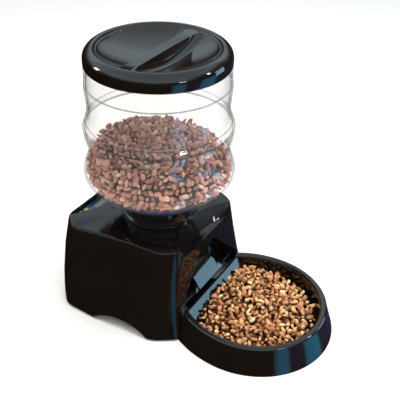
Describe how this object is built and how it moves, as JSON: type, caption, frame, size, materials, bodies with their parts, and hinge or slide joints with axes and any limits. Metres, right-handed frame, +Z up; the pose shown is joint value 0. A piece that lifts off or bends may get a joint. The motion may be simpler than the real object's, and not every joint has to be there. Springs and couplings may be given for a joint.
{
  "type": "automatic pet feeder",
  "caption": "Programmable pet feeder: boxy base with food chute and removable round bowl, clear waisted food drum on a neck, lift-off lid with grip bar.",
  "frame": {"origin": "middle of the footprint of the whole feeder, bowl included, on the floor", "axes": "+Z up, -Y towards the bowl in front, +X to the feeder's left as it faces the pet"},
  "size_m": [0.2526, 0.3924, 0.389],
  "materials": {
    "gloss_black": "high gloss",
    "matt_black": "fine matt grain",
    "navy": "gloss",
    "white_plastic": "natural acetal",
    "clear": "clear styrene",
    "rubber": "matt",
    "steel": "plated",
    "brass": "turned",
    "board": "solder mask",
    "lcd": "satin",
    "panel_blue": "printed film",
    "lamp": "clear amber",
    "yellow": "satin",
    "cell": "sleeved"
  },
  "bodies": {
    "base": {"housing": "gloss_black", "bottom_plate": "matt_black", "battery_box": "matt_black", "neck_collar": "gloss_black", "feed_well": "matt_black", "chute_trough": "gloss_black", "chute_hood": "gloss_black", "gear_tray": "matt_black", "speaker": "matt_black", "power_jack": "matt_black", "motor": "steel", "shaft_bush": "brass", "contact_strip_front": "steel", "contact_strip_rear": "steel", "microphone": "steel", "circuit_board": "board", "lcd_module": "lcd", "lcd_window": "clear", "control_panel": "panel_blue", "status_lamp": "lamp", "battery_cell_1": "cell", "battery_cell_2": "cell", "battery_cell_3": "cell", "rubber_foot_1": "rubber", "case_screw_1": "steel", "rubber_foot_2": "rubber", "case_screw_2": "steel", "rubber_foot_3": "rubber", "case_screw_3": "steel", "rubber_foot_4": "rubber", "case_screw_4": "steel"},
    "rotor_group": {"rotor": "white_plastic", "rotor_shaft": "steel", "drive_gear": "white_plastic"},
    "pinion": {"motor_pinion": "brass"},
    "food_drum": {"drum": "clear", "drum_ring": "navy"},
    "lid_group": {"lid": "gloss_black", "lid_seal": "rubber"},
    "food_bowl": {"bowl": "gloss_black"},
    "door": {"battery_door": "matt_black"},
    "mode_key": {"button_mode": "yellow"},
    "record_key": {"button_record": "lcd"},
    "up_key": {"button_up": "lcd"},
    "down_key": {"button_down": "lcd"}
  },
  "joints": [
    {"name": "rotor_spin", "type": "hinge", "parent": "base", "child": "rotor_group", "pos_m": [0, 0.08276, 0.1], "axis": [0, 0, 1], "continuous": true},
    {"name": "pinion_spin", "type": "hinge", "parent": "base", "child": "pinion", "pos_m": [0.0304, 0.08276, 0.075], "axis": [0, 0, 1], "continuous": true},
    {"name": "drum_lift", "type": "slide", "parent": "base", "child": "food_drum", "axis": [0, 0, 1], "range_m": [0, 0.15]},
    {"name": "lid_lift", "type": "slide", "parent": "food_drum", "child": "lid_group", "axis": [0, 0, 1], "range_m": [0, 0.1]},
    {"name": "bowl_pull", "type": "slide", "parent": "base", "child": "food_bowl", "axis": [0, -1, 0], "range_m": [0, 0.1]},
    {"name": "battery_door_drop", "type": "slide", "parent": "base", "child": "door", "axis": [0, 0, -1], "range_m": [0, 0.018]},
    {"name": "mode_press", "type": "slide", "parent": "base", "child": "mode_key", "axis": [0, 0, -1], "range_m": [0, 0.0012], "stiffness_N_per_m": 400},
    {"name": "record_press", "type": "slide", "parent": "base", "child": "record_key", "axis": [0, 0, -1], "range_m": [0, 0.0012], "stiffness_N_per_m": 400},
    {"name": "up_press", "type": "slide", "parent": "base", "child": "up_key", "axis": [0, 0, -1], "range_m": [0, 0.0012], "stiffness_N_per_m": 400},
    {"name": "down_press", "type": "slide", "parent": "base", "child": "down_key", "axis": [0, 0, -1], "range_m": [0, 0.0012], "stiffness_N_per_m": 400}
  ],
  "couplings": [
    {"joint": "pinion_spin", "follows": "rotor_spin", "ratio": -3}
  ]
}
